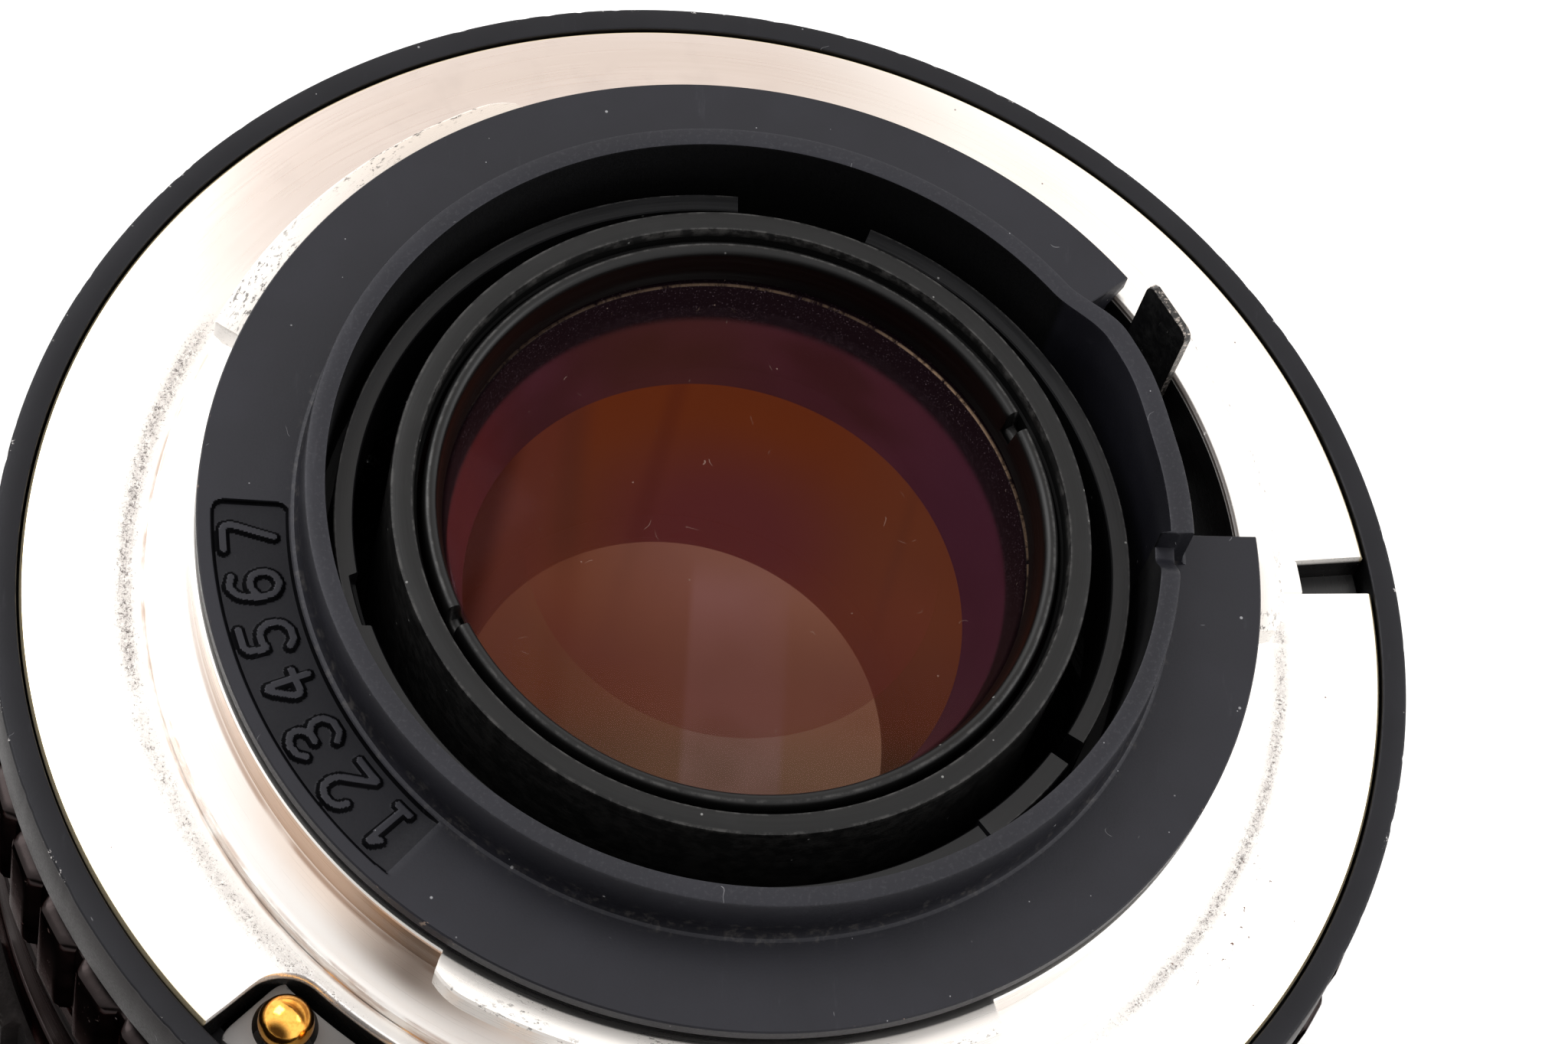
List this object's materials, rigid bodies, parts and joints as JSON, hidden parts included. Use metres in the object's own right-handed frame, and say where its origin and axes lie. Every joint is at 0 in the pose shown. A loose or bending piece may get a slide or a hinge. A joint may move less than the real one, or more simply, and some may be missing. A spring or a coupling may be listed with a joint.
{
  "type": "camera lens",
  "caption": "Standard prime camera lens standing on its front rim, bayonet end up, with focus and aperture rings, a stop-down lever and sprung contacts.",
  "frame": {"origin": "centre of the front rim plane, on the optical axis", "axes": "+Z along the optical axis towards the camera side; +X and +Y across it"},
  "size_m": [0.0636, 0.0636, 0.0501],
  "materials": {
    "nickel": "satin nickel plate with wear arcs",
    "guard_plastic": "fine satin moulded",
    "rim_black": "satin black anodised",
    "barrel_black": "matt black",
    "gloss_black": "polished black with brown reflections",
    "grip_rubber": "matt",
    "aluminium": "turned",
    "steel": "bright",
    "blade_steel": "blued",
    "gold": "gold plated, polished",
    "brass": "turned",
    "insulator": "satin grey",
    "coated_glass": "polished, amber and purple coating"
  },
  "bodies": {
    "lens_body": {"mount_plate": "nickel", "guard": "guard_plastic", "rear_rim": "rim_black", "main_barrel": "barrel_black", "index_ring": "aluminium", "contact_block": "insulator", "guide_key_1": "brass", "guide_key_2": "brass", "key_screw_1": "steel", "key_screw_2": "steel", "mount_screw_1": "steel", "mount_screw_2": "steel", "mount_screw_3": "steel", "click_ball": "steel", "click_spring": "steel", "spring_post": "steel", "stop_spring": "steel", "contact_spring_1": "steel", "contact_spring_2": "steel", "contact_spring_3": "steel"},
    "focus": {"focus_ring": "gloss_black", "focus_grip": "grip_rubber", "helicoid_nut": "brass", "nut_screw_1": "steel", "nut_screw_2": "steel", "nut_screw_3": "steel"},
    "aperture": {"aperture_ring": "gloss_black"},
    "stop_lever": {"stop_lever_ring": "rim_black"},
    "optics": {"helicoid_barrel": "aluminium", "filter_ring": "rim_black", "name_ring": "guard_plastic", "front_cell": "barrel_black", "block_ring": "barrel_black", "front_element": "coated_glass", "front_doublet": "coated_glass", "front_retainer": "barrel_black", "iris_housing": "barrel_black", "rear_cell": "barrel_black", "rear_doublet": "coated_glass", "doublet_retainer": "barrel_black", "rear_element": "coated_glass", "rear_retainer": "barrel_black"},
    "iris": {"iris_ring": "steel"},
    "blade_1": {"iris_blade_1": "blade_steel"},
    "blade_2": {"iris_blade_2": "blade_steel"},
    "blade_3": {"iris_blade_3": "blade_steel"},
    "blade_4": {"iris_blade_4": "blade_steel"},
    "blade_5": {"iris_blade_5": "blade_steel"},
    "blade_6": {"iris_blade_6": "blade_steel"},
    "contact_1": {"contact_pin_1": "gold"},
    "contact_2": {"contact_pin_2": "gold"},
    "contact_3": {"contact_pin_3": "gold"}
  },
  "joints": [
    {"name": "focus_turn", "type": "hinge", "parent": "lens_body", "child": "focus", "pos_m": [0, 0, 0.013], "axis": [0, 0, 1], "range_deg": [0, 200]},
    {"name": "focus_slide", "type": "slide", "parent": "lens_body", "child": "optics", "axis": [0, 0, -1], "range_m": [0, 0.0076]},
    {"name": "aperture_turn", "type": "hinge", "parent": "lens_body", "child": "aperture", "pos_m": [0, 0, 0.032], "axis": [0, 0, 1], "range_deg": [0, 48]},
    {"name": "stop_lever_turn", "type": "hinge", "parent": "lens_body", "child": "stop_lever", "pos_m": [0, 0, 0.041], "axis": [0, 0, -1], "range_deg": [0, 20], "stiffness_Nm_per_rad": 0.01, "springref_deg": -22.92},
    {"name": "iris_turn", "type": "hinge", "parent": "optics", "child": "iris", "pos_m": [0, 0, 0.0244], "axis": [0, 0, -1], "range_deg": [0, 20.2]},
    {"name": "blade_1_pivot", "type": "hinge", "parent": "optics", "child": "blade_1", "pos_m": [0.0152, 0, 0.0205], "axis": [0, 0, 1], "range_deg": [0, 33.2]},
    {"name": "blade_2_pivot", "type": "hinge", "parent": "optics", "child": "blade_2", "pos_m": [0.0076, 0.01316, 0.0205], "axis": [0, 0, 1], "range_deg": [0, 33.2]},
    {"name": "blade_3_pivot", "type": "hinge", "parent": "optics", "child": "blade_3", "pos_m": [-0.0076, 0.01316, 0.0205], "axis": [0, 0, 1], "range_deg": [0, 33.2]},
    {"name": "blade_4_pivot", "type": "hinge", "parent": "optics", "child": "blade_4", "pos_m": [-0.0152, 0, 0.0205], "axis": [0, 0, 1], "range_deg": [0, 33.2]},
    {"name": "blade_5_pivot", "type": "hinge", "parent": "optics", "child": "blade_5", "pos_m": [-0.0076, -0.01316, 0.0205], "axis": [0, 0, 1], "range_deg": [0, 33.2]},
    {"name": "blade_6_pivot", "type": "hinge", "parent": "optics", "child": "blade_6", "pos_m": [0.0076, -0.01316, 0.0205], "axis": [0, 0, 1], "range_deg": [0, 33.2]},
    {"name": "contact_1_press", "type": "slide", "parent": "lens_body", "child": "contact_1", "axis": [0, 0, -1], "range_m": [0, 0.0005], "stiffness_N_per_m": 200, "springref_m": -0.0006, "deforming": ["contact_spring_1"]},
    {"name": "contact_2_press", "type": "slide", "parent": "lens_body", "child": "contact_2", "axis": [0, 0, -1], "range_m": [0, 0.0005], "stiffness_N_per_m": 200, "springref_m": -0.0006, "deforming": ["contact_spring_2"]},
    {"name": "contact_3_press", "type": "slide", "parent": "lens_body", "child": "contact_3", "axis": [0, 0, -1], "range_m": [0, 0.0005], "stiffness_N_per_m": 200, "springref_m": -0.0006, "deforming": ["contact_spring_3"]}
  ],
  "couplings": [
    {"joint": "focus_slide", "follows": "focus_turn", "m_per_rad": 0.0021486},
    {"joint": "iris_turn", "follows": "stop_lever_turn", "ratio": 1},
    {"joint": "blade_1_pivot", "follows": "stop_lever_turn", "ratio": 1.65},
    {"joint": "blade_2_pivot", "follows": "stop_lever_turn", "ratio": 1.65},
    {"joint": "blade_3_pivot", "follows": "stop_lever_turn", "ratio": 1.65},
    {"joint": "blade_4_pivot", "follows": "stop_lever_turn", "ratio": 1.65},
    {"joint": "blade_5_pivot", "follows": "stop_lever_turn", "ratio": 1.65},
    {"joint": "blade_6_pivot", "follows": "stop_lever_turn", "ratio": 1.65}
  ]
}
